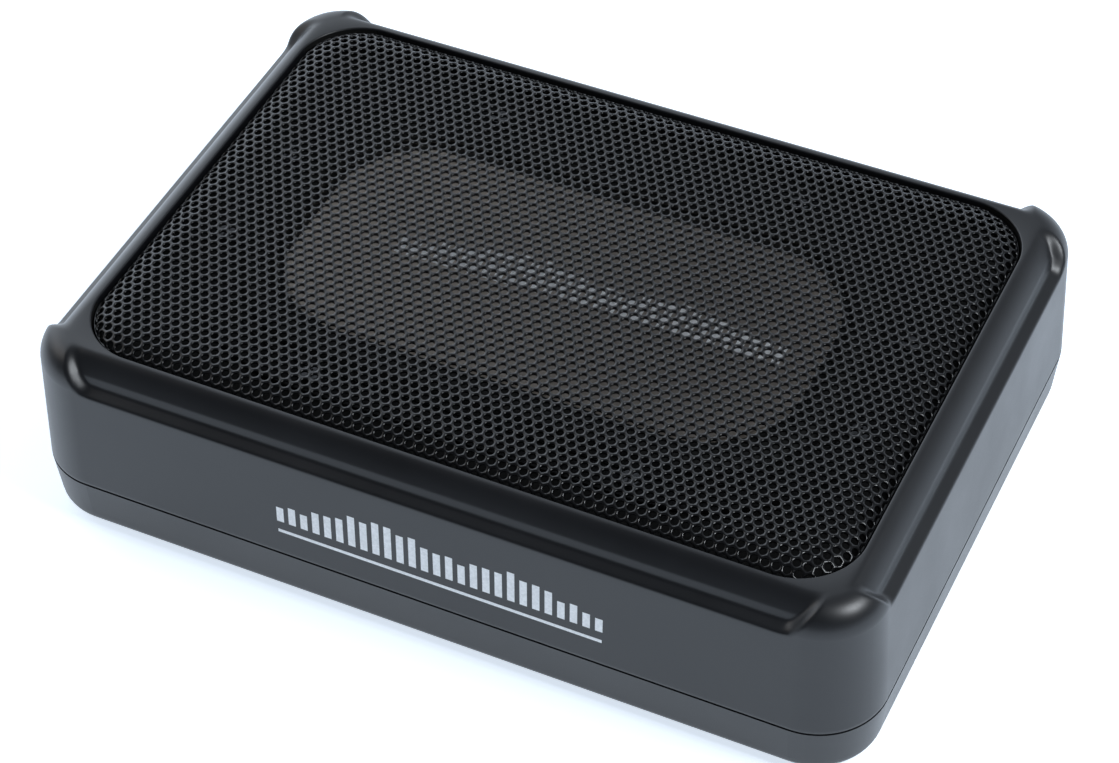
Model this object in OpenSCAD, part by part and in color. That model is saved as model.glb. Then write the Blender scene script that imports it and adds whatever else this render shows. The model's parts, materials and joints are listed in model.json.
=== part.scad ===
// Slim powered subwoofer for fitting under a car seat.
// Origin: centre of the footprint, on the surface the rubber feet stand on. +Z up, -Y front.

/* [Housing] */
// Length of the housing at the parting seam
body_length = 328; // [318:1:340]
// Depth of the housing at the parting seam
body_depth = 232; // [226:1:238]
// Plan radius of the housing corners at the seam
corner_r = 26; // [24:0.5:28]
// Height of the parting seam between the two shells
seam_z = 24; // [23:0.5:25]
// Height of the lower edge of the scooped coves
cove_z = 69.5; // [69:0.1:70]
// Height of the flat rim around the grille
rim_z = 81; // [80.8:0.1:81.4]
// Inward lean of each side wall, from the seam to the cove edge
side_draft = 2.1; // [1.5:0.1:2.6]
// Radius of the rounded corner shoulders
shoulder_r = 11; // [9:0.5:12]
// Wall thickness of both shells
wall = 3; // [2.5:0.1:3.2]

/* [Coves] */
// Distance of each cove end from the body corner, at the cove edge
cove_end_low = 30; // [28:1:33]
// Distance of each cove end from the body corner, at the rim
cove_end_high = 22; // [20:1:25]

/* [Grille] */
// Length of the grille
grille_length = 294; // [290:1:296]
// Depth of the grille
grille_depth = 199; // [194:1:201]
// Plan radius of the grille corners
grille_r = 24; // [22:1:25]
// Height of the top of the grille
grille_z = 83.4; // [83:0.1:85]
// Sheet thickness of the grille
grille_sheet = 1; // [0.8:0.1:1.2]

/* [Driver] */
// Length of the flat diaphragm panel
panel_length = 201; // [198:1:204]
// Depth of the flat diaphragm panel
panel_depth = 104; // [103:1:106]
// Height of the top of the diaphragm panel at rest
panel_z = 76.3; // [76:0.1:76.8]
// Outer diameter of the ferrite magnet
magnet_d = 110; // [90:1:112]
// Diameter of the voice coil former
coil_d = 50; // [49:0.5:50]

/* [Mounting] */
// Spacing of the threaded inserts along the length
insert_spacing_x = 240; // [236:1:244]
// Spacing of the threaded inserts across the depth
insert_spacing_y = 120; // [110:1:124]
// Bore diameter of the threaded inserts
insert_bore_d = 4.2; // [4:0.1:4.4]

/* [Controls] */
// Height of the centre line of the controls
control_z = 46; // [45:0.5:47]
// Diameter of the control knobs
knob_d = 10; // [9:0.5:10.5]

/* [Hidden] */
$fn = 64;

// Housing: corner centres, levels and clearances
half_x = body_length / 2 - corner_r;
half_y = body_depth / 2 - corner_r;
seam_gap = 0.6;
shell_bottom_z = seam_z + seam_gap / 2;
pan_top_z = seam_z - seam_gap / 2;
foot_drop = 1.5;
pan_floor_z = foot_drop + wall;
pan_taper = 1.6;
pan_edge_r = 6;
deck_under_z = 66.3;
recess_floor_z = 72.5;
recess_gap = 0.8;
cavity_r = corner_r - wall;

// Section of a cove, as insets from the seam outline and heights
rim_inset = 14.6;
crease_inset = 6.9;
crease_rise = 1.9;
riser_top = [7.6, 74.6];
brow = [11.1, 81];

// Driver: the panel, its roll and the basket share these corner centres
panel_r = 36;
drive_x = panel_length / 2 - panel_r;
drive_y = panel_depth / 2 - panel_r;
panel_skin = 3;
panel_lip = 3;
lip_z = panel_z - 1.5;
roll_in_r = panel_r + panel_lip;
roll_out_r = 52.5;
roll_rise = 3.6;
roll_skin = 0.8;
opening_r = 54.5;
flange_r = 67.5;
flange_z = recess_floor_z + 0.8;
flange_skin = 1.5;
basket_z = 36;
gap_r = coil_d / 2 + 2.2;
spider_z = 49.2;
spider_out_r = 62;
landing_r = 64;
arm_width = 12;
long_arm_reach = 117;
short_arm_reach = 73.2;

// Electronics: board levels and the recessed control panel in the left wall
board_z = 12;
board_skin = 1.6;
board_top_z = board_z + board_skin;
board_x = [-156, -68];
board_half_y = 86;
board_posts = [for (x = [-150, -74], y = [-80, 80]) [x, y]];
pocket_half_y = 76;
pocket_half_z = 16;
face_x = -158.5;
plate_skin = 2;
plate_back_x = face_x + plate_skin;
ledge_skin = 3;
control_board_x = -146;
knob_face_x = -163.5;
knob_gap = 0.4;
shaft_r = 3;
shaft_bore_r = 3.05;
pot_back_x = control_board_x;
power_y = -55;
fuse_y = -35;
speaker_input_y = -18;
rca_y = -3;
rca_rise = 6.5;
jack_y = 9;
phase_y = 21;
gain_y = 35;
crossover_y = 48;
boost_y = 61;

// Fasteners, feet and inserts
screw_r = 1.9;
screw_spots = [[-146, -96], [146, -96], [-146, 96], [146, 96], [-20, -100], [-20, 100],
    [60, -100], [60, 100]];
driver_spots = [for (x = [-62, 62], y = [-76.5, 76.5]) [x, y], for (x = [-125.5, 125.5],
    y = [-24, 24]) [x, y]];
panel_spots = [for (y = [-72.5, 72.5], z = [-11.5, 11.5]) [y, control_z + z]];
foot_spots = [for (x = [-136, 136], y = [-80, 80]) [x, y]];
insert_spots = [for (x = [-0.5, 0.5], y = [-0.5, 0.5]) [x * insert_spacing_x,
    y * insert_spacing_y]];

// Points of a circular or elliptical arc in a section
function arc(x, z, rx, rz, from, to, steps) =
    [for (i = [0:steps]) let (a = from + (to - from) * i / steps) [x + rx * cos(a), z + rz * sin(a)]];

// Flat outline with round corners
module rounded_rect(x, y, r) {
    square([x, y - 2 * r], center = true);
    square([x - 2 * r, y], center = true);
    for (i = [-1, 1], j = [-1, 1])
        translate([i * (x / 2 - r), j * (y / 2 - r)]) circle(r);
}

// Plate with round corners between two heights
module slab(x, y, r, low, high) {
    translate([0, 0, low]) linear_extrude(high - low) rounded_rect(x, y, r);
}

// A section swept round a rounded rectangle whose corner centres are at (+-hx, +-hy)
module frame_sweep(hx, hy, section) {
    for (side = [0, 1]) {
        run = side == 0 ? hy : hx;
        reach = side == 0 ? hx : hy;
        for (turn = [0, 180])
            rotate([0, 0, turn + 90 * side]) translate([reach, run, 0])
                rotate([90, 0, 0]) linear_extrude(2 * run) polygon(section);
    }
    for (i = [0:3]) {
        x = i == 0 || i == 3 ? hx : -hx;
        y = i < 2 ? hy : -hy;
        translate([x, y, 0]) rotate([0, 0, 90 * i]) rotate_extrude(angle = 90) polygon(section);
    }
}

// The same, with the middle filled between two heights
module filled_sweep(hx, hy, section, low, high) {
    frame_sweep(hx, hy, section);
    translate([-hx, -hy, low]) cube([2 * hx, 2 * hy, high - low]);
}

module tube(outer, inner, low, high) {
    translate([0, 0, low]) difference() {
        cylinder(r = outer, h = high - low);
        translate([0, 0, -1]) cylinder(r = inner, h = high - low + 2);
    }
}

// A round bar along X between two positions
module bar_x(r, x1, x2, y, z) {
    translate([x1, y, z]) rotate([0, 90, 0]) cylinder(r = r, h = x2 - x1);
}

// A block given by its low corner and its high corner
module block(low, high) {
    translate(low) cube(high - low);
}

// A wire of round section through a list of points
module wire(points, r, sides = 8) {
    count = len(points);
    rings = [for (i = [0:count - 1])
        let (a = points[max(i - 1, 0)], b = points[min(i + 1, count - 1)], d = (b - a) / norm(b - a),
            u = cross(d, [0, 1, 0]) / norm(cross(d, [0, 1, 0])), v = cross(d, u))
        for (k = [0:sides - 1]) points[i] + r * (cos(360 * k / sides) * u + sin(360 * k / sides) * v)];
    skin = [for (i = [0:count - 2], k = [0:sides - 1])
        let (n = (k + 1) % sides)
        [i * sides + k, i * sides + n, (i + 1) * sides + n, (i + 1) * sides + k]];
    ends = [[for (k = [sides - 1:-1:0]) k], [for (k = [0:sides - 1]) (count - 1) * sides + k]];
    polyhedron(points = rings, faces = concat(skin, ends));
}

// ---- Housing ----

shoulder_z = rim_z - shoulder_r;
shoulder_wall_r = corner_r - side_draft * (shoulder_z - seam_z) / (cove_z - seam_z);
shell_section = concat([[0, shell_bottom_z], [corner_r, shell_bottom_z]],
    arc(shoulder_wall_r - shoulder_r, shoulder_z, shoulder_r, shoulder_r, 0, 90, 8), [[0, rim_z]]);
cavity_section = [[0, shell_bottom_z - 1], [cavity_r, shell_bottom_z - 1],
    [cavity_r - side_draft, deck_under_z], [0, deck_under_z]];

// Section of the material that a cove takes away, seen along the wall, as [inset, height]
cove_section = concat(
    [[-3, rim_z + 5], [-3, cove_z - 0.2], [side_draft - 0.1, cove_z]],
    [[crease_inset - 0.8, cove_z + crease_rise - 0.2], [crease_inset, cove_z + crease_rise + 0.5]],
    [for (i = [0:8]) let (t = i / 8)
        (1 - t) * (1 - t) * riser_top + 2 * t * (1 - t) * brow + t * t * [rim_inset, rim_z]],
    [[rim_inset, rim_z + 5]]);

// The cut for one cove, centred on the side whose outline is at distance reach along +X
module cove_cut(reach, half_run) {
    low = half_run - cove_end_low;
    high = half_run - cove_end_high;
    intersection() {
        translate([reach, 0, 0]) rotate([90, 0, 0]) mirror([1, 0, 0])
            linear_extrude(2 * high, center = true) polygon(cove_section);
        translate([reach - 40, 0, 0]) rotate([90, 0, 90]) linear_extrude(60)
            polygon([[-low, cove_z - 1], [low, cove_z - 1], [high, rim_z + 5], [-high, rim_z + 5]]);
    }
}

module upper_housing() {
    color([0.07, 0.075, 0.085]) difference() {
        union() {
            difference() {
                filled_sweep(half_x, half_y, shell_section, shell_bottom_z, rim_z);
                filled_sweep(half_x, half_y, cavity_section, shell_bottom_z - 1, deck_under_z);
                slab(grille_length + 2 * recess_gap, grille_depth + 2 * recess_gap,
                    grille_r + recess_gap, recess_floor_z, rim_z + 5);
                for (turn = [0, 180]) {
                    rotate([0, 0, turn]) cove_cut(body_length / 2, body_depth / 2);
                    rotate([0, 0, turn + 90]) cove_cut(body_depth / 2, body_length / 2);
                }
            }
            for (spot = screw_spots)
                translate([spot[0], spot[1], shell_bottom_z]) cylinder(r = 5, h = 45);
            block([-161, -pocket_half_y - 3, control_z - pocket_half_z - 2.5],
                [plate_back_x + ledge_skin, pocket_half_y + 3, control_z + pocket_half_z + 2.5]);
        }
        slab(2 * (drive_x + opening_r), 2 * (drive_y + opening_r), opening_r, 60, 90);
        for (spot = screw_spots)
            translate([spot[0], spot[1], shell_bottom_z - 1]) cylinder(r = screw_r, h = 21);
        for (spot = driver_spots)
            translate([spot[0], spot[1], 60]) cylinder(r = screw_r, h = 20);
        block([-170, -pocket_half_y, control_z - pocket_half_z],
            [plate_back_x, pocket_half_y, control_z + pocket_half_z]);
        block([-170, -pocket_half_y + 7, control_z - pocket_half_z + 3],
            [-150, pocket_half_y - 7, control_z + pocket_half_z - 3]);
        for (spot = panel_spots)
            bar_x(1.2, -160, -150, spot[0], spot[1]);
    }
}

pan_side_r = corner_r - pan_taper;
pan_section = concat([[0, pan_top_z], [0, foot_drop]],
    arc(pan_side_r - pan_edge_r, foot_drop + pan_edge_r, pan_edge_r, pan_edge_r, 270, 360, 6),
    [[corner_r, pan_top_z]]);
pan_cavity_section = [[0, pan_floor_z], [pan_side_r - wall - 1.5, pan_floor_z],
    [pan_side_r - wall, pan_floor_z + 2], [cavity_r, pan_top_z + 1], [0, pan_top_z + 1]];
relief_x = [-123, -89];
relief_depth = 1.2;

module base_pan() {
    color([0.08, 0.085, 0.095]) difference() {
        union() {
            difference() {
                filled_sweep(half_x, half_y, pan_section, foot_drop, pan_top_z);
                filled_sweep(half_x, half_y, pan_cavity_section, pan_floor_z, pan_top_z + 1);
                // shallow relief in the front edge, towards the left
                block([relief_x[0], -body_depth / 2 - 1, foot_drop - 1],
                    [relief_x[1], -body_depth / 2 + 12, foot_drop + relief_depth]);
            }
            for (spot = screw_spots)
                translate([spot[0], spot[1], foot_drop]) cylinder(r = 6, h = pan_top_z - foot_drop);
            for (spot = board_posts)
                translate([spot[0], spot[1], foot_drop]) cylinder(r = 3.5, h = board_z - foot_drop);
            for (spot = insert_spots)
                translate([spot[0], spot[1], foot_drop]) cylinder(r = 6, h = 9.5);
        }
        for (spot = screw_spots)
            translate([spot[0], spot[1], foot_drop - 1]) {
                cylinder(r = screw_r, h = 30);
                cylinder(r = 4.4, h = 9);
            }
        for (spot = board_posts)
            translate([spot[0], spot[1], board_z - 6]) cylinder(r = 1.25, h = 7);
        for (spot = insert_spots)
            translate([spot[0], spot[1], foot_drop - 1]) cylinder(r = 3.5, h = 9);
        for (spot = foot_spots)
            translate([spot[0], spot[1], foot_drop - 1]) cylinder(r = 9.3, h = 2);
    }
}

module seam_gasket() {
    color([0.02, 0.02, 0.02]) difference() {
        slab(body_length - 2.4, body_depth - 2.4, corner_r - 1.2, pan_top_z, shell_bottom_z);
        slab(body_length - 5.6, body_depth - 5.6, corner_r - 2.8, pan_top_z - 1, shell_bottom_z + 1);
    }
}

module rubber_feet() {
    color([0.03, 0.03, 0.03])
        for (spot = foot_spots)
            translate([spot[0], spot[1], 0]) union() {
                cylinder(r1 = 8.4, r2 = 9, h = 0.8);
                translate([0, 0, 0.8]) cylinder(r = 9, h = foot_drop + 1 - 0.8);
            }
}

module pan_head_screw(r, length, head_r, head_h) {
    cylinder(r = r, h = length);
    translate([0, 0, -head_h]) difference() {
        cylinder(r = head_r, h = head_h);
        for (a = [0, 90])
            rotate([0, 0, a]) translate([-head_r * 0.6, -0.4, -0.1])
                cube([head_r * 1.2, 0.8, head_h * 0.5]);
    }
}

module base_screws() {
    color([0.5, 0.5, 0.52])
        for (spot = screw_spots)
            translate([spot[0], spot[1], foot_drop + 8]) pan_head_screw(screw_r, 34, 4, 3);
}

module mounting_inserts() {
    color([0.72, 0.6, 0.3])
        for (spot = insert_spots)
            translate([spot[0], spot[1], 0])
                tube(3.5, insert_bore_d / 2, foot_drop, foot_drop + 8);
}

// ---- Grille ----

grille_x = grille_length / 2 - grille_r;
grille_y = grille_depth / 2 - grille_r;
skirt_low_z = 75.5;
skirt_high_z = 78;
roll_width = 14;
grille_in_r = grille_r - grille_sheet;
grille_section = concat(
    [[grille_r, skirt_low_z]],
    arc(grille_r - roll_width, skirt_high_z, roll_width, grille_z - skirt_high_z, 0, 90, 8),
    [[0, grille_z], [0, grille_z - grille_sheet]],
    arc(grille_r - roll_width, skirt_high_z, roll_width - grille_sheet,
        grille_z - grille_sheet - skirt_high_z, 90, 0, 8),
    [[grille_in_r, skirt_low_z]]);

module grille() {
    color([0.02, 0.02, 0.022])
        filled_sweep(grille_x, grille_y, grille_section, grille_z - grille_sheet, grille_z);
}

module grille_seat_foam() {
    color([0.05, 0.05, 0.05]) difference() {
        slab(grille_length, grille_depth, grille_r, recess_floor_z, skirt_low_z);
        slab(grille_length - 5, grille_depth - 5, grille_r - 2.5, 70, 80);
    }
}

// ---- Driver ----

module basket_arm(reach) {
    top = flange_z + flange_skin / 2;
    rotate([90, 0, 0]) linear_extrude(arm_width, center = true)
        polygon([[58, basket_z + 0.5], [63, basket_z + 0.5], [reach - 2, flange_z - 11.3],
            [reach, flange_z - 7.3], [reach, top], [reach - 5, top], [reach - 9, flange_z - 7.3],
            [62, basket_z + 5], [58, basket_z + 5]]);
}

module basket() {
    rim_r = roll_out_r - 2;
    color([0.12, 0.12, 0.13]) difference() {
        union() {
            difference() {
                slab(2 * (drive_x + flange_r), 2 * (drive_y + flange_r), flange_r, flange_z,
                    flange_z + flange_skin);
                slab(2 * (drive_x + rim_r), 2 * (drive_y + rim_r), rim_r, 60, 90);
            }
            for (a = [22.5, 157.5, 202.5, 337.5])
                rotate([0, 0, a]) basket_arm(long_arm_reach);
            for (a = [67.5, 112.5, 247.5, 292.5])
                rotate([0, 0, a]) basket_arm(short_arm_reach);
            tube(landing_r, gap_r + 0.8, basket_z, basket_z + 2.5);
            tube(landing_r, spider_out_r - 3, basket_z + 2, spider_z);
        }
        for (spot = driver_spots)
            translate([spot[0], spot[1], 60]) cylinder(r = 2.2, h = 20);
    }
}

module basket_gasket() {
    color([0.1, 0.1, 0.1]) difference() {
        slab(2 * (drive_x + flange_r - 1), 2 * (drive_y + flange_r - 1), flange_r - 1,
            recess_floor_z, flange_z);
        slab(2 * (drive_x + opening_r), 2 * (drive_y + opening_r), opening_r, 60, 90);
        for (spot = driver_spots)
            translate([spot[0], spot[1], 60]) cylinder(r = 2.2, h = 20);
    }
}

module driver_screws() {
    color([0.3, 0.3, 0.32])
        for (spot = driver_spots)
            translate([spot[0], spot[1], flange_z + flange_skin])
                mirror([0, 0, 1]) pan_head_screw(screw_r, 8, 3.6, 2);
}

module back_plate() {
    color([0.45, 0.45, 0.47]) difference() {
        union() {
            translate([0, 0, 10]) cylinder(r = magnet_d / 2 - 3, h = 6);
            translate([0, 0, 10]) cylinder(r = coil_d / 2 - 1.8, h = 26);
        }
        translate([0, 0, 9]) cylinder(r = 6, h = 30);
    }
}

module magnet() {
    color([0.13, 0.13, 0.14]) tube(magnet_d / 2, 30, 16, 31);
}

module top_plate() {
    color([0.45, 0.45, 0.47]) tube(magnet_d / 2 - 3, gap_r, 31, basket_z);
}

module cone_panel() {
    color([0.3, 0.27, 0.24]) {
        slab(panel_length - 2, panel_depth - 2, panel_r - 1, panel_z - 1, panel_z);
        slab(panel_length, panel_depth, panel_r, lip_z, panel_z - 1);
        slab(panel_length + 2 * panel_lip, panel_depth + 2 * panel_lip, panel_r + panel_lip,
            panel_z - panel_skin, lip_z);
    }
}

module drive_cone() {
    neck = coil_d / 2;
    top = panel_z - panel_skin;
    color([0.16, 0.16, 0.16]) rotate_extrude()
        polygon([[neck, 54], [neck + 1.2, 54], [neck + 1.2, 57], [46, top - 1], [48, top - 1],
            [48, top], [44, top], [neck, 58]]);
}

roll_mid_r = (roll_in_r + roll_out_r) / 2;
roll_half = (roll_out_r - roll_in_r) / 2;
roll_base_z = lip_z + roll_skin;
surround_section = concat(
    [[panel_r + 0.3, roll_base_z], [panel_r + 0.3, lip_z], [roll_in_r, lip_z]],
    arc(roll_mid_r, lip_z, roll_half - roll_skin, roll_rise, 180, 0, 12),
    [[roll_out_r, lip_z], [opening_r + 2, lip_z], [opening_r + 2, roll_base_z]],
    arc(roll_mid_r, roll_base_z, roll_half, roll_rise, 0, 180, 12));

module surround() {
    color([0.03, 0.03, 0.03]) frame_sweep(drive_x, drive_y, surround_section);
}

spider_waves = 5;
spider_step = (spider_out_r - coil_d / 2 - 4) / spider_waves;
function spider_line(rise) = [for (i = [0:spider_waves * 8])
    let (r = coil_d / 2 + 2 + spider_step * i / 8)
    [r, spider_z + 1 + rise + 0.9 * sin(360 * i / 8)]];
spider_upper = spider_line(0.6);
spider_lower = spider_line(0);
spider_section = concat([[coil_d / 2, spider_z + 1], [coil_d / 2, spider_z + 1.6]], spider_upper,
    [[spider_out_r, spider_z + 0.6], [spider_out_r, spider_z]],
    [for (i = [len(spider_lower) - 1:-1:0]) spider_lower[i]]);

module spider() {
    color([0.75, 0.62, 0.3]) rotate_extrude() polygon(spider_section);
}

module voice_coil_former() {
    color([0.7, 0.55, 0.35]) tube(coil_d / 2, coil_d / 2 - 0.6, 25, 58);
}

module voice_coil_winding() {
    color([0.75, 0.4, 0.2]) tube(coil_d / 2 + 1.2, coil_d / 2, 27, 41);
}

strip_x = -65.7;

module terminal_strip() {
    color([0.45, 0.3, 0.15]) block([strip_x, -9, basket_z], [strip_x + 1.6, 9, 46]);
    color([0.8, 0.7, 0.4])
        for (y = [-5, 5])
            block([strip_x - 4, y - 2, 42], [strip_x, y + 2, 42.8]);
}

module tinsel_leads() {
    color([0.75, 0.7, 0.55])
        for (y = [-5, 5])
            wire([[strip_x + 0.9, y, 46.9], [-65, y, 51], [-60, y, 55.5], [-52, y, 58], [-43, y, 58.5],
                [-36, y, 58], [-31, y, 56.5]], 0.6);
}

module speaker_wires() {
    color([0.6, 0.08, 0.06])
        for (y = [-5, 5])
            wire([[strip_x - 4.2, y, 42.4], [-73, y, 41.5], [-75, y, 38], [-75.5, y, 33],
                [-74.5, y, 29], [-74, y, 26.5], [-74, y, 24]], 1.1);
}

module wire_header() {
    color([0.85, 0.82, 0.7]) block([-78, -9, board_top_z], [-70, 9, 24]);
}

// ---- Amplifier ----

module main_board() {
    color([0.05, 0.28, 0.14]) difference() {
        block([board_x[0], -board_half_y, board_z], [board_x[1], board_half_y, board_top_z]);
        for (spot = board_posts)
            translate([spot[0], spot[1], 0]) cylinder(r = 1.6, h = 30);
    }
}

module board_screws() {
    color([0.7, 0.7, 0.72])
        for (spot = board_posts)
            translate([spot[0], spot[1], board_top_z]) mirror([0, 0, 1])
                pan_head_screw(1.25, 7, 2.75, 1.8);
}

module filter_capacitors() {
    for (y = [-64, -42, -20]) {
        translate([-128, y, board_top_z]) {
            color([0.12, 0.12, 0.2]) cylinder(r = 9, h = 30);
            color([0.7, 0.7, 0.7]) translate([0, 0, 30]) cylinder(r = 8, h = 1);
        }
    }
}

module toroid_core() {
    color([0.75, 0.65, 0.2]) translate([-98, -50, 0]) tube(17, 10, 17, 29);
}

module toroid_winding() {
    turns = 10;
    color([0.72, 0.35, 0.15])
        for (i = [0:turns - 1])
            translate([-98, -50, 0]) rotate([0, 0, 360 / turns * i]) difference() {
                block([8.4, -1.6, 15.4], [18.6, 1.6, 30.6]);
                block([9.8, -2, 17], [17, 2, 29]);
            }
}

module output_inductors() {
    color([0.2, 0.2, 0.21])
        for (y = [22, 46])
            translate([-98, y, board_top_z]) union() {
                cylinder(r = 10, h = 2);
                cylinder(r = 7, h = 14);
                translate([0, 0, 12]) cylinder(r = 10, h = 2);
            }
}

transistor_y = 81;

module power_transistors() {
    color([0.05, 0.05, 0.05])
        for (i = [0:3]) {
            x = -127 + 14 * i;
            block([x, transistor_y, 19], [x + 10, transistor_y + 4.4, 34]);
            for (k = [0:2])
                block([x + 2 + 2.6 * k, transistor_y + 1, board_top_z],
                    [x + 2.8 + 2.6 * k, transistor_y + 1.6, 19]);
        }
}

module thermal_pad() {
    color([0.6, 0.6, 0.65])
        block([-130, transistor_y + 4.4, 18], [-72, transistor_y + 5, 35]);
}

module heat_sink() {
    fin_low = transistor_y + 9;
    color([0.7, 0.71, 0.72]) {
        block([-132, transistor_y + 5.1, pan_floor_z], [-70, fin_low, 40]);
        for (x = [-131:6:-71])
            block([x, fin_low - 0.5, pan_floor_z], [x + 1.6, fin_low + 7, 38]);
    }
}

module amplifier_chips() {
    color([0.04, 0.04, 0.045]) {
        block([-112, -20, board_top_z], [-92, -6, board_top_z + 2.6]);
        block([-122, 8, board_top_z], [-112, 18, board_top_z + 1.8]);
        block([-92, -82, board_top_z], [-80, -74, board_top_z + 1.8]);
        block([-120, 52, board_top_z], [-108, 62, board_top_z + 2]);
    }
}

module board_link() {
    color([0.06, 0.06, 0.06]) block([-143.9, -60, board_top_z], [-138.9, -30, 22]);
    color([0.8, 0.7, 0.4])
        for (i = [0:9]) {
            y = -58 + 2.9 * i;
            block([control_board_x + board_skin, y, 17.5], [-143.9, y + 0.7, 18.2]);
        }
}

// ---- Control panel ----

module control_board() {
    color([0.05, 0.28, 0.14])
        block([control_board_x, -68, board_top_z + 1.2], [control_board_x + board_skin, 68, 62]);
}

module control_panel() {
    color([0.05, 0.05, 0.055]) difference() {
        block([face_x, -pocket_half_y + 0.3, control_z - pocket_half_z + 0.3],
            [plate_back_x, pocket_half_y - 0.3, control_z + pocket_half_z - 0.3]);
        block([-170, power_y - 12, control_z - 8], [-150, power_y + 12, control_z + 8]);
        block([-170, fuse_y - 5, control_z - 9], [-150, fuse_y + 5, control_z + 9]);
        block([-170, speaker_input_y - 7, control_z - 8], [-150, speaker_input_y + 7, control_z + 8]);
        for (z = [-rca_rise, rca_rise])
            bar_x(3.4, -170, -150, rca_y, control_z + z);
        bar_x(3.5, -170, -150, jack_y, control_z - 5);
        bar_x(1.5, -170, -150, jack_y, control_z + 8);
        block([-170, phase_y - 4.5, control_z - 2], [-150, phase_y + 4.5, control_z + 2]);
        for (y = [gain_y, crossover_y, boost_y])
            bar_x(shaft_r + knob_gap, -170, -150, y, control_z);
        for (spot = panel_spots)
            bar_x(1.2, -170, -150, spot[0], spot[1]);
    }
}

module panel_screws() {
    color([0.25, 0.25, 0.26])
        for (spot = panel_spots)
            translate([face_x, spot[0], spot[1]]) rotate([0, 90, 0]) pan_head_screw(1.2, 5, 2.3, 1.4);
}

socket_face_x = -160.5;
socket_floor_x = -150;
pin_tip_x = -155;

// A shrouded socket with a wall of one thickness, open towards -X
module shroud(y, half_y, half_z, skin) {
    difference() {
        block([socket_face_x, y - half_y, control_z - half_z],
            [control_board_x, y + half_y, control_z + half_z]);
        block([socket_face_x - 1, y - half_y + skin, control_z - half_z + skin],
            [socket_floor_x, y + half_y - skin, control_z + half_z - skin]);
    }
}

module power_connector() {
    color([0.03, 0.03, 0.03]) shroud(power_y, 12, 8, 2);
}

module power_pins() {
    color([0.8, 0.7, 0.4])
        for (i = [-1, 1], j = [-1, 1])
            block([pin_tip_x, power_y + 5 * i - 1.5, control_z + 3 * j - 0.5],
                [socket_floor_x, power_y + 5 * i + 1.5, control_z + 3 * j + 0.5]);
}

module speaker_input_connector() {
    color([0.85, 0.83, 0.78]) shroud(speaker_input_y, 7, 8, 1.5);
}

module speaker_input_pins() {
    color([0.8, 0.7, 0.4])
        for (i = [-1, 1], j = [-1, 1])
            block([pin_tip_x, speaker_input_y + 2.6 * i - 0.5, control_z + 3 * j - 0.5],
                [socket_floor_x, speaker_input_y + 2.6 * i + 0.5, control_z + 3 * j + 0.5]);
}

// Outer contact of a phono socket, with a neck where it stands on the panel
module rca_barrel(z) {
    color([0.85, 0.75, 0.45]) translate([knob_face_x, rca_y, z]) rotate([0, 90, 0]) difference() {
        union() {
            cylinder(r = 4.15, h = 4.5);
            cylinder(r = 3.9, h = face_x - knob_face_x);
        }
        translate([0, 0, -1]) cylinder(r = 3.4, h = 12);
    }
}

module rca_core(z, tint) {
    color(tint) difference() {
        union() {
            bar_x(3.4, knob_face_x + 0.6, -154, rca_y, z);
            block([-154, rca_y - 5.5, z - 5.5], [control_board_x, rca_y + 5.5, z + 5.5]);
        }
        bar_x(1.6, knob_face_x - 1, -152, rca_y, z);
    }
}

module rca_barrel_left() {
    rca_barrel(control_z + rca_rise);
}

module rca_core_left() {
    rca_core(control_z + rca_rise, [0.85, 0.85, 0.85]);
}

module rca_barrel_right() {
    rca_barrel(control_z - rca_rise);
}

module rca_core_right() {
    rca_core(control_z - rca_rise, [0.6, 0.05, 0.05]);
}

module remote_jack() {
    z = control_z - 5;
    color([0.06, 0.06, 0.06]) difference() {
        union() {
            bar_x(3.5, -160, -156, jack_y, z);
            block([-156.2, jack_y - 4.5, z - 4.5], [control_board_x, jack_y + 4.5, z + 4.5]);
        }
        bar_x(1.8, -161, -148.5, jack_y, z);
    }
}

module power_led() {
    color([0.1, 0.3, 0.8]) union() {
        bar_x(1.5, -159.2, control_board_x, jack_y, control_z + 8);
        translate([-159.2, jack_y, control_z + 8]) sphere(1.5);
    }
}

fuse_face_x = -163;

module fuse_holder() {
    color([0.04, 0.04, 0.04]) difference() {
        block([socket_face_x, fuse_y - 5, control_z - 9], [control_board_x, fuse_y + 5, control_z + 9]);
        block([socket_face_x - 1, fuse_y - 3, control_z - 7],
            [-154, fuse_y + 3, control_z + 7]);
        for (z = [-4, 4])
            block([-156, fuse_y - 0.8, control_z + z - 1.8], [-148, fuse_y + 0.8, control_z + z + 1.8]);
    }
}

module fuse() {
    color([0.9, 0.5, 0.1]) {
        block([fuse_face_x, fuse_y - 2.5, control_z - 6.5], [-154.4, fuse_y + 2.5, control_z + 6.5]);
        for (z = [-4, 4])
            block([-155, fuse_y - 0.4, control_z + z - 1.4], [-148.5, fuse_y + 0.4, control_z + z + 1.4]);
    }
}

// Potentiometer body with a bore that its knob's shaft turns in
module pot(y) {
    color([0.25, 0.26, 0.28]) difference() {
        union() {
            block([-154, y - 5, control_z - 5], [pot_back_x, y + 5, control_z + 5]);
            bar_x(4.2, -156.4, -153.9, y, control_z);
        }
        bar_x(shaft_bore_r, -160, -149, y, control_z);
    }
}

// Knob with a fluted edge, a pointer slot and its shaft
module knob(y) {
    flutes = 18;
    color([0.1, 0.1, 0.1]) difference() {
        union() {
            bar_x(knob_d / 2, knob_face_x, face_x - knob_gap, y, control_z);
            bar_x(shaft_r, face_x - 1, -149.5, y, control_z);
        }
        for (i = [0:flutes - 1])
            translate([0, y, control_z]) rotate([360 / flutes * i, 0, 0])
                bar_x(0.45, knob_face_x - 1, face_x, knob_d / 2, 0);
        block([knob_face_x - 1, y - 0.5, control_z], [knob_face_x + 0.8, y + 0.5, control_z + knob_d / 2]);
    }
}

module gain_pot() {
    pot(gain_y);
}

module gain_knob() {
    knob(gain_y);
}

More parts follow.
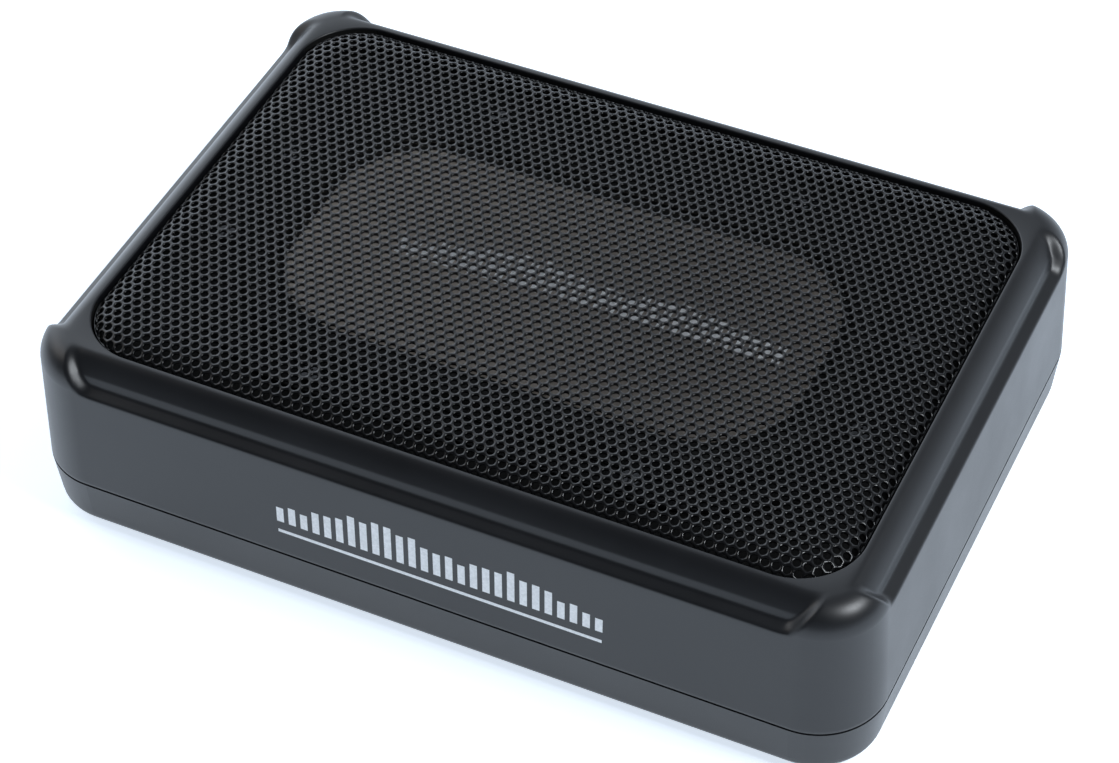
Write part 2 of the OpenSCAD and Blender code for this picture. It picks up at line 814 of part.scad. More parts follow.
module crossover_pot() {
    pot(crossover_y);
}

module crossover_knob() {
    knob(crossover_y);
}

module boost_pot() {
    pot(boost_y);
}

module boost_knob() {
    knob(boost_y);
}

module phase_switch() {
    color([0.6, 0.6, 0.62]) difference() {
        block([-156.2, phase_y - 6, control_z - 3.5], [control_board_x, phase_y + 6, control_z + 3.5]);
        block([-157, phase_y - 4, control_z - 1.6], [-151, phase_y + 4, control_z + 1.6]);
    }
}

module phase_slider() {
    color([0.08, 0.08, 0.08])
        block([-162, phase_y - 3.6, control_z - 1.3], [-151.5, phase_y + 0.6, control_z + 1.3]);
}

module damping_foam() {
    color([0.2, 0.2, 0.22]) difference() {
        block([66, -84, pan_floor_z], [150, 84, 16]);
        for (spot = insert_spots)
            translate([spot[0], spot[1], 0]) cylinder(r = 7, h = 30);
    }
}

upper_housing();
base_pan();
seam_gasket();
rubber_feet();
base_screws();
mounting_inserts();
grille();
grille_seat_foam();
basket();
basket_gasket();
driver_screws();
back_plate();
magnet();
top_plate();
cone_panel();
drive_cone();
surround();
spider();
voice_coil_former();
voice_coil_winding();
terminal_strip();
tinsel_leads();
speaker_wires();
wire_header();
main_board();
board_screws();
filter_capacitors();
toroid_core();
toroid_winding();
output_inductors();
power_transistors();
thermal_pad();
heat_sink();
amplifier_chips();
board_link();
control_board();
control_panel();
panel_screws();
power_connector();
power_pins();
speaker_input_connector();
speaker_input_pins();
rca_barrel_left();
rca_core_left();
rca_barrel_right();
rca_core_right();
remote_jack();
power_led();
fuse_holder();
fuse();
gain_pot();
gain_knob();
crossover_pot();
crossover_knob();
boost_pot();
boost_knob();
phase_switch();
phase_slider();
damping_foam();
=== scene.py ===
import json
import math

import bmesh
import bpy
import numpy as np
from mathutils import Matrix, Vector


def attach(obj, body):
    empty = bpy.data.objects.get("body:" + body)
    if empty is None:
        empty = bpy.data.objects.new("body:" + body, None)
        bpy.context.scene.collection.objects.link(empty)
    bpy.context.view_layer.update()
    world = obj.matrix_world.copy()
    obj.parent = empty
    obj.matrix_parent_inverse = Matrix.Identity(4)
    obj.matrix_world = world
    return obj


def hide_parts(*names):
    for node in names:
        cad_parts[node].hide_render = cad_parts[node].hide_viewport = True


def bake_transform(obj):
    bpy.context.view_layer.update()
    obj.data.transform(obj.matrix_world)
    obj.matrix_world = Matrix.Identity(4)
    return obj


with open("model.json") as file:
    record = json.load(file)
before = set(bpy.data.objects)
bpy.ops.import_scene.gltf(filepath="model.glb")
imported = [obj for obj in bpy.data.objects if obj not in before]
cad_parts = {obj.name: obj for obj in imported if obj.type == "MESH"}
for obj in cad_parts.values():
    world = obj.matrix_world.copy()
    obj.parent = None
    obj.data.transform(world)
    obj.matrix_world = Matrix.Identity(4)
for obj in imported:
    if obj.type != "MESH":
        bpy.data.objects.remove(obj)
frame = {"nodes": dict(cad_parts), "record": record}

for name in ("Cube", "Light", "Camera"):
    if name in bpy.data.objects:
        bpy.data.objects.remove(bpy.data.objects[name])
bpy.context.view_layer.update()
nodes = frame["nodes"]
record = frame["record"]
MM = 0.001

# ---- Camera: the viewing angle of the photograph ----
scene = bpy.context.scene


def make_camera():
    azimuth, elevation, roll = (math.radians(a) for a in (26.095, 45.089, -1.391))
    right = Vector((math.cos(azimuth), math.sin(azimuth), 0))
    back = Vector((math.sin(azimuth) * math.cos(elevation),
                   -math.cos(azimuth) * math.cos(elevation), math.sin(elevation)))
    up = back.cross(right)
    rolled_right = math.cos(roll) * right + math.sin(roll) * up
    rolled_up = -math.sin(roll) * right + math.cos(roll) * up
    aim = Vector((0, 0, 0.0695)) - 0.00043 * rolled_right - 0.02944 * rolled_up
    camera = bpy.data.objects.new("camera", bpy.data.cameras.new("camera"))
    scene.collection.objects.link(camera)
    camera.data.sensor_width = 36
    camera.data.lens = 100.18
    camera.data.clip_start = 0.05
    camera.data.clip_end = 50
    turn = Matrix((rolled_right, rolled_up, back)).transposed()
    camera.matrix_world = Matrix.Translation(aim + 1.13468 * back) @ turn.to_4x4()
    scene.camera = camera


make_camera()

# ---- Studio ----


def softbox(name, direction, distance, size, radiance, tint=(1, 1, 1), target=(0, 0, 0.05)):
    light = bpy.data.lights.new(name, "AREA")
    light.shape = "ELLIPSE"
    light.size, light.size_y = size
    light.energy = radiance * math.pi ** 2 / 4 * size[0] * size[1]
    light.color = tint
    lamp = bpy.data.objects.new(name, light)
    scene.collection.objects.link(lamp)
    d = Vector(direction).normalized()
    lamp.location = Vector(target) + d * distance
    lamp.rotation_mode = "QUATERNION"
    lamp.rotation_quaternion = d.to_track_quat("Z", "Y")
    return lamp


def make_world():
    """Dim surroundings, a wide soft glow from behind on the left and a pale band on the horizon."""
    world = scene.world or bpy.data.worlds.new("studio")
    scene.world = world
    world.use_nodes = True
    tree = world.node_tree
    background = tree.nodes["Background"]
    background.inputs["Color"].default_value = (0.82, 0.9, 1.0, 1)

    def node(kind, numbers=(), **settings):
        made = tree.nodes.new(kind)
        for key, value in settings.items():
            setattr(made, key, value)
        for key, number in numbers:
            made.inputs[key].default_value = number
        return made

    view = node("ShaderNodeTexCoord").outputs["Generated"]
    facing = node("ShaderNodeVectorMath", [(1, (-0.72, 0.5, 0.48))], operation="DOT_PRODUCT")
    glow = node("ShaderNodeMapRange", [("From Min", 0.81), ("From Max", 0.95), ("To Min", 0),
                                       ("To Max", 2.0)])
    side = node("ShaderNodeVectorMath", [(1, (-0.35, 0.94, 0))], operation="DOT_PRODUCT")
    fade = node("ShaderNodeMapRange", [("From Min", -0.2), ("From Max", 1.0), ("To Min", 0.2),
                                       ("To Max", 1)])
    split = node("ShaderNodeSeparateXYZ")
    band = node("ShaderNodeMapRange", [("From Min", 0.05), ("From Max", 0.5), ("To Min", 0.9),
                                       ("To Max", 0)])
    horizon = node("ShaderNodeMath", operation="MULTIPLY")
    both = node("ShaderNodeMath", operation="ADD")
    upper = node("ShaderNodeVectorMath", [(1, (0.15, 0.75, 0.64))], operation="DOT_PRODUCT")
    base = node("ShaderNodeMapRange", [("From Min", 0.5), ("From Max", 1.0), ("To Min", 0.09),
                                       ("To Max", 0.5)])
    total = node("ShaderNodeMath", operation="ADD")
    for output, socket in ((view, facing.inputs[0]), (facing.outputs["Value"], glow.inputs["Value"]),
                           (view, side.inputs[0]), (side.outputs["Value"], fade.inputs["Value"]),
                           (view, split.inputs[0]), (split.outputs["Z"], band.inputs["Value"]),
                           (fade.outputs["Result"], horizon.inputs[0]),
                           (band.outputs["Result"], horizon.inputs[1]),
                           (horizon.outputs[0], both.inputs[0]),
                           (glow.outputs["Result"], both.inputs[1]),
                           (view, upper.inputs[0]), (upper.outputs["Value"], base.inputs["Value"]),
                           (both.outputs[0], total.inputs[0]),
                           (base.outputs["Result"], total.inputs[1]),
                           (total.outputs[0], background.inputs["Strength"])):
        tree.links.new(output, socket)


def make_studio():
    softbox("key_softbox", (0.68, -0.07, 0.73), 1.5, (0.56, 0.56), 21, (0.9, 0.95, 1.0))
    softbox("left_softbox", (-0.8, -0.12, 0.58), 1.4, (0.7, 0.7), 1.5, (1.0, 0.95, 0.9))
    make_world()
    scene.view_settings.view_transform = "Standard"
    bpy.ops.mesh.primitive_grid_add(x_subdivisions=8, y_subdivisions=8, size=12)
    floor = bpy.context.object
    floor.name = "studio_floor"
    material, tree, shader = node_material("floor_paper")
    shader.inputs["Base Color"].default_value = (0.7, 0.76, 0.83, 1)
    shader.inputs["Roughness"].default_value = 0.9
    shader.inputs["Specular IOR Level"].default_value = 0.1
    shader.inputs["Emission Color"].default_value = (0.8, 0.89, 1, 1)
    # painted light: the floor glows on its own, more strongly towards the left (low X) where the
    # object's shadow falls, painting that shadow out
    coordinates = tree.nodes.new("ShaderNodeTexCoord")
    split = tree.nodes.new("ShaderNodeSeparateXYZ")
    glow = tree.nodes.new("ShaderNodeMapRange")
    for key, value in (("From Min", -0.32), ("From Max", -0.12), ("To Min", 1.1), ("To Max", 0.8)):
        glow.inputs[key].default_value = value
    tree.links.new(coordinates.outputs["Object"], split.inputs[0])
    tree.links.new(split.outputs["X"], glow.inputs["Value"])
    tree.links.new(glow.outputs["Result"], shader.inputs["Emission Strength"])
    floor.data.materials.append(material)


# ---- Materials ----


def node_material(name):
    material = bpy.data.materials.new(name)
    material.use_nodes = True
    tree = material.node_tree
    return material, tree, tree.nodes["Principled BSDF"]


class Maker:
    """Adds and links shader nodes of one material."""

    def __init__(self, name):
        self.material, self.tree, self.shader = node_material(name)
        self.coordinates = None

    def add(self, kind, **settings):
        node = self.tree.nodes.new(kind)
        for key, value in settings.items():
            setattr(node, key, value)
        return node

    def place(self, stretch=(1, 1, 1), turn=(0, 0, 0)):
        if self.coordinates is None:
            self.coordinates = self.add("ShaderNodeTexCoord")
        if stretch == (1, 1, 1) and turn == (0, 0, 0):
            return self.coordinates.outputs["Object"]
        mapping = self.add("ShaderNodeMapping")
        mapping.inputs["Scale"].default_value = stretch
        mapping.inputs["Rotation"].default_value = turn
        self.tree.links.new(self.coordinates.outputs["Object"], mapping.inputs["Vector"])
        return mapping.outputs["Vector"]

    def noise(self, scale, detail=3.0, rough=0.5, stretch=(1, 1, 1), turn=(0, 0, 0)):
        node = self.add("ShaderNodeTexNoise")
        node.inputs["Scale"].default_value = scale
        node.inputs["Detail"].default_value = detail
        node.inputs["Roughness"].default_value = rough
        self.tree.links.new(self.place(stretch, turn), node.inputs["Vector"])
        return node.outputs["Fac"]

    def cells(self, scale, feature="F1", stretch=(1, 1, 1)):
        node = self.add("ShaderNodeTexVoronoi", feature=feature)
        node.inputs["Scale"].default_value = scale
        self.tree.links.new(self.place(stretch), node.inputs["Vector"])
        return node.outputs["Distance"]

    def remap(self, value, low, high, to_low, to_high):
        node = self.add("ShaderNodeMapRange")
        for key, number in (("From Min", low), ("From Max", high), ("To Min", to_low),
                            ("To Max", to_high)):
            node.inputs[key].default_value = number
        self.tree.links.new(value, node.inputs["Value"])
        return node.outputs["Result"]

    def math(self, operation, a, b):
        node = self.add("ShaderNodeMath", operation=operation)
        for socket, value in zip(node.inputs, (a, b)):
            if isinstance(value, (int, float)):
                socket.default_value = value
            else:
                self.tree.links.new(value, socket)
        return node.outputs["Value"]

    def blend(self, factor, a, b):
        node = self.add("ShaderNodeMix", data_type="RGBA")
        self.tree.links.new(factor, node.inputs["Factor"])
        for socket, value in ((node.inputs[6], a), (node.inputs[7], b)):
            if isinstance(value, tuple):
                socket.default_value = (*value, 1)
            else:
                self.tree.links.new(value, socket)
        return node.outputs[2]

    def bump(self, height, distance, strength=1.0, under=None):
        node = self.add("ShaderNodeBump")
        node.inputs["Strength"].default_value = strength
        node.inputs["Distance"].default_value = distance
        self.tree.links.new(height, node.inputs["Height"])
        if under is not None:
            self.tree.links.new(under, node.inputs["Normal"])
        return node.outputs["Normal"]

    def link(self, output, socket):
        self.tree.links.new(output, self.shader.inputs[socket])

    def set(self, **values):
        for key, value in values.items():
            socket = self.shader.inputs[key.replace("_", " ")]
            socket.default_value = (*value, 1) if isinstance(value, tuple) else value


def shade(color, factor):
    return tuple(min(1.0, c * factor) for c in color)


def surface(name, color, rough, metal=0.0, vary=0.12, blotch=25, grain=1800, grain_depth=0.00001,
            rough_vary=0.05, stretch=(1, 1, 1), wear=0.0, cell=None, specular=0.5, coat=0.0,
            detail=3.0):
    """A material with broad colour variation, fine grain in its relief and sheen, and edge wear."""
    m = Maker(name)
    broad = m.noise(blotch, 4, 0.55, stretch)
    tone = m.blend(m.remap(broad, 0.3, 0.7, 0, 1), shade(color, 1 - vary), shade(color, 1 + vary))
    fine = m.noise(grain, detail, 0.6, stretch) if cell is None else m.cells(grain, cell, stretch)
    if wear:
        geometry = m.add("ShaderNodeNewGeometry")
        edge = m.remap(geometry.outputs["Pointiness"], 0.52, 0.6, 0, wear)
        scuff = m.math("MULTIPLY", edge, m.remap(m.noise(140, 5, 0.7), 0.45, 0.62, 0, 1))
        tone = m.blend(scuff, tone, shade(color, 2.2))
    m.link(tone, "Base Color")
    rougher = m.math("ADD", m.remap(broad, 0.3, 0.7, rough - rough_vary, rough + rough_vary),
                     m.remap(fine, 0.3, 0.7, -rough_vary / 2, rough_vary / 2))
    m.link(rougher, "Roughness")
    m.link(m.bump(fine, grain_depth), "Normal")
    m.set(Metallic=metal, Specular_IOR_Level=specular)
    if coat:
        m.set(Coat_Weight=coat, Coat_Roughness=0.12)
    return m.material


def make_materials():
    black = (0.006, 0.0065, 0.008)
    made = {
        "upper_shell_plastic": surface("shell_plastic", black, 0.37, vary=0.1, grain=2600,
                                       grain_depth=0.000008, rough_vary=0.03, wear=0.5),
        "lower_shell_plastic": surface("pan_plastic", black, 0.37, vary=0.1, grain=2600,
                                       grain_depth=0.000008, rough_vary=0.03, wear=0.3),
        "gasket_foam": surface("gasket_foam", (0.01, 0.01, 0.01), 0.95, grain=4000,
                               grain_depth=0.0001, cell="F1"),
        "foot_rubber": surface("foot_rubber", (0.018, 0.018, 0.018), 0.8, grain=1500,
                               grain_depth=0.00003),
        "black_steel_screws": surface("blackened_steel", (0.12, 0.12, 0.125), 0.42, 1.0,
                                      grain=3000, grain_depth=0.00001),
        "insert_brass": surface("insert_brass", (0.7, 0.52, 0.24), 0.35, 1.0, grain=2500),
        "grille_paint": surface("grille_paint", (0.004, 0.004, 0.0045), 0.14, vary=0.1,
                                grain=1200, grain_depth=0.000004, rough_vary=0.02,
                                specular=0.32),
        "basket_paint": surface("basket_paint", (0.005, 0.005, 0.0055), 0.7, grain=1500,
                                specular=0.2),
        "pole_steel": surface("pole_steel", (0.5, 0.5, 0.52), 0.33, 1.0, grain=800,
                              stretch=(1, 1, 0.1)),
        "ferrite": surface("ferrite", (0.045, 0.045, 0.05), 0.75, grain=1500,
                           grain_depth=0.00005),
        "cone_pulp": surface("cone_pulp", (0.03, 0.03, 0.03), 0.9, grain=900,
                             grain_depth=0.0001, detail=6),
        "surround_rubber": surface("surround_rubber", (0.004, 0.004, 0.004), 0.7, grain=1200,
                                   specular=0.25),
        "former_film": surface("former_film", (0.4, 0.22, 0.06), 0.3, grain=600, coat=0.5),
        "copper_winding": surface("copper_winding", (0.72, 0.32, 0.15), 0.35, 1.0, grain=900,
                                  grain_depth=0.0001, stretch=(0.05, 0.05, 4)),
        "strip_phenolic": surface("strip_phenolic", (0.22, 0.11, 0.045), 0.55, grain=1200),
        "braid": surface("braid", (0.66, 0.58, 0.42), 0.4, 0.9, grain=2500, cell="F1",
                         grain_depth=0.0001),
        "red_wire": surface("red_wire", (0.4, 0.02, 0.015), 0.35, grain=500),
        "header_nylon": surface("header_nylon", (0.72, 0.68, 0.55), 0.5, grain=1500),
        "bright_steel": surface("bright_steel", (0.66, 0.66, 0.67), 0.25, 1.0, grain=2500),
        "capacitor_sleeve": surface("capacitor_sleeve", (0.02, 0.022, 0.06), 0.3, grain=500),
        "toroid_coat": surface("toroid_coat", (0.6, 0.48, 0.07), 0.4, grain=900),
        "inductor_ferrite": surface("inductor_ferrite", (0.07, 0.07, 0.075), 0.65, grain=1500),
        "chip_epoxy": surface("chip_epoxy", (0.014, 0.014, 0.015), 0.55, grain=2500),
        "pad_silicone": surface("pad_silicone", (0.38, 0.4, 0.45), 0.8, grain=1200),
        "sink_aluminium": surface("sink_aluminium", (0.72, 0.73, 0.74), 0.35, 1.0, grain=500,
                                  stretch=(1, 1, 0.08), grain_depth=0.00003),
        "black_nylon": surface("black_nylon", (0.018, 0.018, 0.019), 0.45, grain=1800),
        "panel_plastic": surface("panel_plastic", (0.016, 0.0165, 0.018), 0.48, grain=2200,
                                 grain_depth=0.00002, cell="F1"),
        "pin_plating": surface("pin_plating", (0.83, 0.62, 0.28), 0.22, 1.0, grain=2000),
        "white_insulator": surface("white_insulator", (0.72, 0.72, 0.7), 0.4, grain=1200),
        "red_insulator": surface("red_insulator", (0.45, 0.015, 0.015), 0.4, grain=1200),
        "pot_metal": surface("pot_metal", (0.42, 0.43, 0.45), 0.38, 1.0, grain=900),
        "knob_plastic": surface("knob_plastic", (0.02, 0.02, 0.021), 0.42, grain=1800),
        "slider_plastic": surface("slider_plastic", (0.05, 0.05, 0.052), 0.45, grain=1800),
        "damping_felt": surface("damping_felt", (0.09, 0.09, 0.1), 0.95, grain=700,
                                grain_depth=0.0004, cell="F1"),
    }
    made["panel_composite"] = panel_material()
    made["spider_cloth"] = cloth_material()
    made["board_green"] = board_material()
    made["led_lens"] = clear_material("led_lens", (0.12, 0.3, 0.95), 0.6)
    made["fuse_amber"] = clear_material("fuse_amber", (0.9, 0.36, 0.03), 0.35)
    return made


def panel_material():
    """Grey-brown composite skin, brushed along its length, with painted light: it pales towards its
    left end, where the light from the left falls.
    """
    m = Maker("panel_composite")
    streaks = m.noise(220, 4, 0.6, (0.05, 1, 1))
    fibres = m.noise(1500, 2, 0.5, (0.06, 1, 1))
    broad = m.noise(14, 3, 0.5)
    tone = m.blend(m.remap(streaks, 0.3, 0.7, 0, 1), (0.15, 0.129, 0.111), (0.215, 0.186, 0.161))
    tone = m.blend(m.remap(broad, 0.3, 0.7, 0, 0.5), tone, (0.165, 0.148, 0.134))
    split = m.add("ShaderNodeSeparateXYZ")
    m.tree.links.new(m.place(), split.inputs[0])
    # painted light: towards low X the skin blends to a pale tone, a painted pool of the light from the
    # left
    along = m.remap(split.outputs["X"], -0.1, 0.05, 0.8, 0)
    m.link(m.blend(along, tone, (0.52, 0.455, 0.395)), "Base Color")
    m.link(m.remap(fibres, 0.3, 0.7, 0.36, 0.52), "Roughness")
    m.link(m.bump(fibres, 0.00002), "Normal")
    return m.material


def cloth_material():
    m = Maker("spider_cloth")
    across = m.add("ShaderNodeTexWave", bands_direction="X")
    along = m.add("ShaderNodeTexWave", bands_direction="Y")
    for wave in (across, along):
        wave.inputs["Scale"].default_value = 320
        wave.inputs["Distortion"].default_value = 0.6
        m.tree.links.new(m.place(), wave.inputs["Vector"])
    weave = m.math("MULTIPLY", across.outputs["Fac"], along.outputs["Fac"])
    m.link(m.blend(weave, (0.4, 0.27, 0.08), (0.62, 0.46, 0.18)), "Base Color")
    m.link(m.bump(weave, 0.0001), "Normal")
    m.set(Roughness=0.8)
    return m.material


def board_material():
    """Solder mask over copper tracks."""
    m = Maker("board_green")
    tracks = m.add("ShaderNodeTexVoronoi", feature="DISTANCE_TO_EDGE")
    tracks.inputs["Scale"].default_value = 90
    tracks.inputs["Randomness"].default_value = 0.25
    m.tree.links.new(m.place(), tracks.inputs["Vector"])
    track = m.remap(tracks.outputs["Distance"], 0.05, 0.09, 1, 0)
    m.link(m.blend(track, (0.012, 0.09, 0.04), (0.03, 0.17, 0.07)), "Base Color")
    m.link(m.bump(track, 0.00003), "Normal")
    m.set(Roughness=0.3, Coat_Weight=0.4)
    return m.material


def clear_material(name, color, through):
    m = Maker(name)
    cloud = m.noise(400, 3)
    m.link(m.blend(m.remap(cloud, 0.3, 0.7, 0, 1), shade(color, 0.85), color), "Base Color")
    m.link(m.remap(cloud, 0.3, 0.7, 0.08, 0.16), "Roughness")
    m.set(Transmission_Weight=through)
    return m.material


# ---- Mesh tools ----


def mesh_piece(name, points, faces, material, body="housing", stands_for=(),
               sharp=35.0, ride=True):
    """One piece from points in millimetres. Edges sharper than the given angle stay crisp."""
    mesh = bpy.data.meshes.new(name)
    mesh.from_pydata(np.asarray(points, float) * MM, [], faces)
    mesh.update()
    work = bmesh.new()
    work.from_mesh(mesh)
    bmesh.ops.recalc_face_normals(work, faces=work.faces)
    work.to_mesh(mesh)
    work.free()
    mesh.shade_smooth()
    if sharp:
        mesh.set_sharp_from_angle(angle=math.radians(sharp))
    mesh.materials.append(material)
    piece = bpy.data.objects.new(name, mesh)
    scene.collection.objects.link(piece)
    if ride:
        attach(piece, body)
    if stands_for:
        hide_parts(*stands_for)
    return piece


def corner_steps(fine, coarse):
    """Angles round one corner, closer near its two ends."""
    first = list(np.arange(0, 24, fine))
    middle = list(np.arange(24, 66, coarse))
    return first + middle + list(np.arange(66, 90 - 1e-6, fine))


def stations(hx, hy, reach=13.0, step=0.65, coarse=12, fine=1.25, wide=3.5):
    """Places round a rounded rectangle: share of the corner centre's offset, and outward normal."""
    def run(half):
        ends = np.arange(half - reach, half, step)
        inner = np.linspace(-(half - reach), half - reach, coarse + 1)
        return np.concatenate([-ends[::-1], inner[1:-1], ends]) / half
    out = []
    turns = corner_steps(fine, wide)
    for side in range(4):
        half = hy if side % 2 == 0 else hx
        n = ((1, 0), (0, 1), (-1, 0), (0, -1))[side]
        for u in run(half):
            o = ((1, u), (-u, 1), (-1, -u), (u, -1))[side]
            out.append((*o, *n))
        corner = ((1, 1), (-1, 1), (-1, -1), (1, -1))[side]
        for a in turns:
            t = math.radians(a + 90 * side)
            out.append((*corner, math.cos(t), math.sin(t)))
    return np.array(out)


def ring(st, hx, hy, r, z):
    """Loop of points on a rounded rectangle with corner centres at (+-hx, +-hy). r, z may vary."""
    n = len(st)
    r = np.broadcast_to(r, n)
    z = np.broadcast_to(z, n)
    return np.stack([st[:, 0] * hx + st[:, 2] * r, st[:, 1] * hy + st[:, 3] * r, z], axis=1)


def tube_faces(n, m, closed=True):
    """Quads between m loops of n points. Closed joins the last loop to the first."""
    faces = []
    for j in range(m if closed else m - 1):
        k = (j + 1) % m
        for i in range(n):
            p = (i + 1) % n
            faces.append((j * n + i, j * n + p, k * n + p, k * n + i))
    return faces


def smooth_step(t):
    t = np.clip(t, 0, 1)
    return t * t * (3 - 2 * t)


def sweep(st, hx, hy, section):
    loops = [ring(st, hx, hy, r, z) for r, z in section]
    return np.concatenate(loops), tube_faces(len(st), len(section))


def arc(cx, cz, rx, rz, start, end, steps):
    return [(cx + rx * math.cos(math.radians(a)), cz + rz * math.sin(math.radians(a)))
            for a in np.linspace(start, end, steps + 1)]


def applied(piece, kind, **settings):
    """Runs one modifier and keeps its result in the mesh."""
    modifier = piece.modifiers.new(kind.lower(), kind)
    for key, value in settings.items():
        setattr(modifier, key, value)
    dg = bpy.context.evaluated_depsgraph_get()
    mesh = bpy.data.meshes.new_from_object(piece.evaluated_get(dg))
    piece.modifiers.clear()
    old = piece.data
    piece.data = mesh
    bpy.data.meshes.remove(old)
    return piece


# ---- Upper shell ----
# Corner centres of the body, the grille's recess and the driver's opening, in millimetres
HX, HY = 138.0, 90.0
GX, GY = 123.0, 75.5
PX, PY = 64.5, 16.0
RIM_Z, COVE_Z, SEAM_Z, DRAFT, SHOULDER = 81.0, 69.5, 24.0, 2.1, 11.0
SLOPE = DRAFT / (COVE_Z - SEAM_Z)
ARC_Z = RIM_Z - SHOULDER
ARC_R = 26 - SLOPE * (ARC_Z - SEAM_Z) - SHOULDER


def wall_r(z):
    return 26 - SLOPE * (z - SEAM_Z)


def bend(a, b, c, steps):
    """Smooth curve from a to c, drawn towards b. Leaves out its first point."""
    a, b, c = np.array(a), np.array(b), np.array(c)
    return [tuple((1 - t) ** 2 * a + 2 * t * (1 - t) * b + t * t * c)
            for t in np.linspace(0, 1, steps + 1)[1:]]


def towards(a, b, distance):
    a, b = np.array(a), np.array(b)
    return tuple(a + (b - a) * distance / np.hypot(*(b - a)))


def cove_curve():
    """Angle and radius of the cove's section, seen from the centre of the corner shoulder."""
    edge, foot, brow = (wall_r(COVE_Z), COVE_Z), (19.6, 71.35), (18.4, 74.6)
    points = [(wall_r(z), z) for z in np.linspace(62, COVE_Z - 1.1, 20)]
    points += bend(points[-1], edge, towards(edge, foot, 1.1), 8)
    points += bend(points[-1], towards(edge, foot, 2.5), towards(foot, edge, 0.9), 10)
    points += bend(points[-1], foot, towards(foot, brow, 1.0), 10)
    points += bend(points[-1], towards(foot, brow, 2.0), brow, 6)
    points += bend(brow, (14.2, 81), (11.4, 81), 30)
    points += [(x, 81) for x in np.linspace(11.3, 8, 8)]
    p = np.array(points) - (ARC_R, ARC_Z)
    angle = np.degrees(np.arctan2(p[:, 1], p[:, 0]))
    order = np.argsort(angle)
    return angle[order], np.hypot(p[:, 0], p[:, 1])[order]


def shell_loops(st):
    known, radius = cove_curve()
    dense = np.linspace(-12, 100, 1121)
    crisp = np.interp(dense, known, radius)
    kernel = np.exp(-0.5 * (np.arange(-90, 91) / 38.0) ** 2)
    kernel /= kernel.sum()
    soft = np.convolve(np.pad(crisp, 90, mode="edge"), kernel, mode="valid")
    keep = smooth_step((dense - 0.0) / 9.0) * smooth_step((99 - dense) / 8.0)
    soft = crisp + (soft - crisp) * keep
    angles = [-9, -7, -6, -5.2, -4.6, -4.1, -3.7, -3.3, -2.9, -2.5, -2.0, -1.4, -0.7, 0.2, 1.4, 2.8,
              4.2, 5.6, 7.0, 8.0, 8.8, 9.5, 10.1, 10.7, 11.3, 12.0, 12.8, 13.9, 15.4, 17.6, 20.4, 23.6,
              27, 31, 35, 39, 43, 47, 51, 55, 59, 63, 67, 71, 75, 79, 83, 87, 91, 94.5, 98]
    loops = []
    for a in angles:
        c, s = math.cos(math.radians(a)), math.sin(math.radians(a))
        bump = SHOULDER
        if a < 0:
            bump = SHOULDER / (c + SLOPE * s)
        elif a > 90:
            bump = SHOULDER / s
        top = ring(st, HX, HY, ARC_R + bump * c, ARC_Z + bump * s)
        height = ARC_Z + bump * s
        run = 30 - 8 * np.clip((height - COVE_Z) / (RIM_Z - COVE_Z), -0.1, 1)
        inside = np.maximum(HX + 26 - run - np.abs(top[:, 0]), HY + 26 - run - np.abs(top[:, 1]))
        weight = smooth_step(inside / 6.0 + 0.5)
        near_end = 1 - smooth_step((inside - 1.5) / 7.0)
        cove = np.interp(a, dense, crisp) * (1 - near_end) + np.interp(a, dense, soft) * near_end
        rho = bump * (1 - weight) + cove * weight
        loops.append(ring(st, HX, HY, ARC_R + rho * c, ARC_Z + rho * s))
    return loops


def make_upper_shell(materials):
    st = stations(HX, HY)
    lower = [(23, 24.3), (25.55, 24.3), (25.85, 24.42), (wall_r(24.7), 24.7)]
    loops = [ring(st, HX, HY, r, z) for r, z in lower]
    loops += [ring(st, HX, HY, wall_r(z), z) for z in (26, 32, 40, 48, 56, 62, 66)]
    loops += shell_loops(st)
    # recess for the grille, deck and driver opening
    for r, z in arc(25.4, 80.4, -0.6, 0.6, 90, 0, 4):
        loops.append(ring(st, GX, GY, r, z))
    loops += [ring(st, GX, GY, 24.8, z) for z in (78, 74, 72.8)]
    loops.append(ring(st, GX, GY, 24.5, 72.5))
    loops.append(ring(st, PX, PY, 54.9, 72.5))
    loops.append(ring(st, PX, PY, 54.5, 72.1))
    loops.append(ring(st, PX, PY, 54.5, 66.3))
    loops += [ring(st, HX, HY, r, z) for r, z in ((18.9, 66.3), (20.2, 65.8), (20.95, 64.5),
                                                 (21.5, 54), (22.3, 38))]
    shell = mesh_piece("upper_shell", np.concatenate(loops), tube_faces(len(st), len(loops)),
                       materials["upper_shell_plastic"], stands_for=("upper_housing",),
                       sharp=None)
    join_block(shell, (-161.2, -79, 27.5), (-153.5, 79, 64.5), 2, "UNION")
    join_block(shell, (-175, -76, 30), (-156.5, 76, 62), 1.6, "DIFFERENCE")
    join_block(shell, (-170, -69, 33), (-150, 69, 59), 1.2, "DIFFERENCE")
    shell.data.shade_smooth()
    shell.data.set_sharp_from_angle(angle=math.radians(32))
    shell.data.materials.append(surface("deck_black", (0.005, 0.005, 0.005), 0.8, grain=2600,
                                        specular=0.2))
    for face in shell.data.polygons:
        x, y, z = face.center / MM
        if abs(x) < 147.6 and abs(y) < 100.1 and 66.5 < z < 80.2:
            face.material_index = 1
    return shell


def rounded_block(low, high, radius, steps=4):
    """Box with its edges along X rounded."""
    y0, y1, z0, z1 = low[1], high[1], low[2], high[2]
    outline = []
    for cy, cz, start in ((y1 - radius, z1 - radius, 0), (y0 + radius, z1 - radius, 90),
                          (y0 + radius, z0 + radius, 180), (y1 - radius, z0 + radius, 270)):
        outline += arc(cy, cz, radius, radius, start, start + 90, steps)
    n = len(outline)
    points = [(x, y, z) for x in (low[0], high[0]) for y, z in outline]
    faces = [tuple(range(n)), tuple(range(2 * n - 1, n - 1, -1))]
    faces += [(i, n + i, n + (i + 1) % n, (i + 1) % n) for i in range(n)]
    return points, faces


